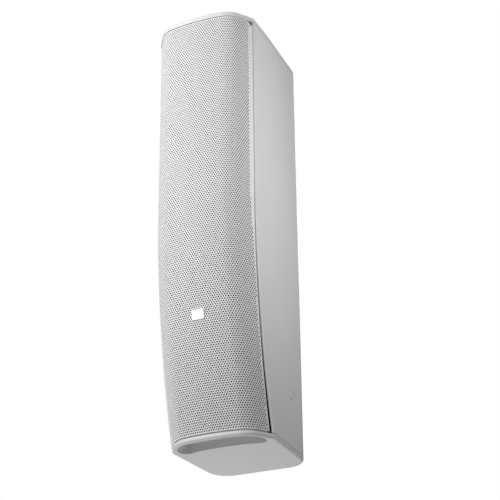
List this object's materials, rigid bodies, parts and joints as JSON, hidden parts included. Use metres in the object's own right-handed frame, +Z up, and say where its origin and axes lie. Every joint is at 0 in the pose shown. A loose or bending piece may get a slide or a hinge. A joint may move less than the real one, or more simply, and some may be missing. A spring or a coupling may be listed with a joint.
{
  "type": "line array speaker",
  "caption": "White wall-mount column loudspeaker with a bowed perforated grille whose lower part curves back, tapered side walls and a recessed rear input cup.",
  "frame": {"origin": "centre of the four wall inserts, on the flat back of the enclosure, halfway up", "axes": "+Z up along the cabinet, -Y out of the grille (front), +X to the right seen from the front with X across the cabinet's width"},
  "size_m": [0.17, 0.245, 0.695],
  "materials": {
    "white_shell": "fine textured white moulding",
    "white_caps": "fine textured white moulding",
    "white_grille": "white powder coat on perforated steel",
    "grey_cloth": "open acoustic cloth",
    "seam_rubber": "matt black foam rubber",
    "badge_white": "gloss white",
    "baffle_board": "black sealed fibreboard",
    "brace_board": "plain fibreboard",
    "wadding": "fluffy polyester",
    "clip_plastic": "black nylon",
    "basket_paint": "satin black",
    "surround_rubber": "matt butyl rubber",
    "cone_pulp": "treated pulp",
    "spider_cloth": "resin treated cotton",
    "coil_copper": "enamelled copper",
    "plate_steel": "zinc plated",
    "ferrite": "sintered ferrite",
    "tweeter_plastic": "satin black",
    "dome_silk": "doped silk",
    "cup_plastic": "black textured",
    "insert_brass": "plain brass",
    "terminal_black": "black phenolic",
    "screw_steel": "zinc plated",
    "cover_clear": "smoked polycarbonate",
    "knob_plastic": "grey knob",
    "switch_plastic": "switch bodies",
    "slider_white": "white slider",
    "board_green": "solder mask",
    "capacitor_film": "film wrap",
    "resistor_ceramic": "ceramic block",
    "core_steel": "laminated steel",
    "wire_jacket": "sleeved wires"
  },
  "bodies": {
    "root": {"enclosure_shell": "white_shell", "top_cap": "white_caps", "bottom_cap": "white_caps", "seam_gaskets": "seam_rubber", "grille": "white_grille", "grille_cloth": "grey_cloth", "grille_clips": "clip_plastic", "badge": "badge_white", "front_baffle": "baffle_board", "braces": "brace_board", "damping_lining": "wadding", "woofer_magnets": "ferrite", "woofer_spiders": "spider_cloth", "baffle_screws": "screw_steel", "tweeter_magnets": "plate_steel", "tweeter_domes": "dome_silk", "wall_inserts": "insert_brass", "input_cup": "cup_plastic", "terminal_block": "terminal_black", "terminal_screws": "screw_steel", "cover_pin": "screw_steel", "switch_bodies": "switch_plastic", "crossover_board": "board_green", "board_posts": "screw_steel", "crossover_coils": "coil_copper", "crossover_capacitors": "capacitor_film", "crossover_resistors": "resistor_ceramic", "transformer_core": "core_steel", "transformer_winding": "coil_copper", "wiring_loom": "wire_jacket", "cup_screws": "screw_steel", "woofer_basket_1": "basket_paint", "woofer_surround_1": "surround_rubber", "woofer_yoke_1": "plate_steel", "tweeter_bar_1": "tweeter_plastic", "woofer_basket_2": "basket_paint", "woofer_surround_2": "surround_rubber", "woofer_yoke_2": "plate_steel", "tweeter_bar_2": "tweeter_plastic", "woofer_basket_3": "basket_paint", "woofer_surround_3": "surround_rubber", "woofer_yoke_3": "plate_steel", "tweeter_bar_3": "tweeter_plastic", "woofer_basket_4": "basket_paint", "woofer_surround_4": "surround_rubber", "woofer_yoke_4": "plate_steel", "tweeter_bar_4": "tweeter_plastic"},
    "cone_1": {"woofer_cone_1": "cone_pulp", "woofer_coil_1": "coil_copper"},
    "cone_2": {"woofer_cone_2": "cone_pulp", "woofer_coil_2": "coil_copper"},
    "cone_3": {"woofer_cone_3": "cone_pulp", "woofer_coil_3": "coil_copper"},
    "cone_4": {"woofer_cone_4": "cone_pulp", "woofer_coil_4": "coil_copper"},
    "terminal_cover": {"terminal_cover": "cover_clear"},
    "tap_selector": {"selector_knob": "knob_plastic", "selector_shaft": "screw_steel"},
    "voicing_switch": {"voicing_slider": "slider_white"},
    "coverage_switch": {"coverage_slider": "slider_white"}
  },
  "joints": [
    {"name": "woofer_1_cone_travel", "type": "slide", "parent": "root", "child": "cone_1", "axis": [0, -0.9786, -0.2059], "range_m": [-0.003, 0.003], "stiffness_N_per_m": 1250},
    {"name": "woofer_2_cone_travel", "type": "slide", "parent": "root", "child": "cone_2", "axis": [0, -0.9968, -0.0803], "range_m": [-0.003, 0.003], "stiffness_N_per_m": 1250},
    {"name": "woofer_3_cone_travel", "type": "slide", "parent": "root", "child": "cone_3", "axis": [0, -1, 0], "range_m": [-0.003, 0.003], "stiffness_N_per_m": 1250},
    {"name": "woofer_4_cone_travel", "type": "slide", "parent": "root", "child": "cone_4", "axis": [0, -1, 0], "range_m": [-0.003, 0.003], "stiffness_N_per_m": 1250},
    {"name": "terminal_cover_flip", "type": "hinge", "parent": "root", "child": "terminal_cover", "pos_m": [0, -0.0078, -0.246], "axis": [1, 0, 0], "range_deg": [0, 110]},
    {"name": "tap_selector_turn", "type": "hinge", "parent": "root", "child": "tap_selector", "pos_m": [0, -0.02, -0.205], "axis": [0, -1, 0], "range_deg": [0, 150]},
    {"name": "voicing_switch_slide", "type": "slide", "parent": "root", "child": "voicing_switch", "axis": [1, 0, 0], "range_m": [0, 0.004]},
    {"name": "coverage_switch_slide", "type": "slide", "parent": "root", "child": "coverage_switch", "axis": [1, 0, 0], "range_m": [0, 0.004]}
  ]
}
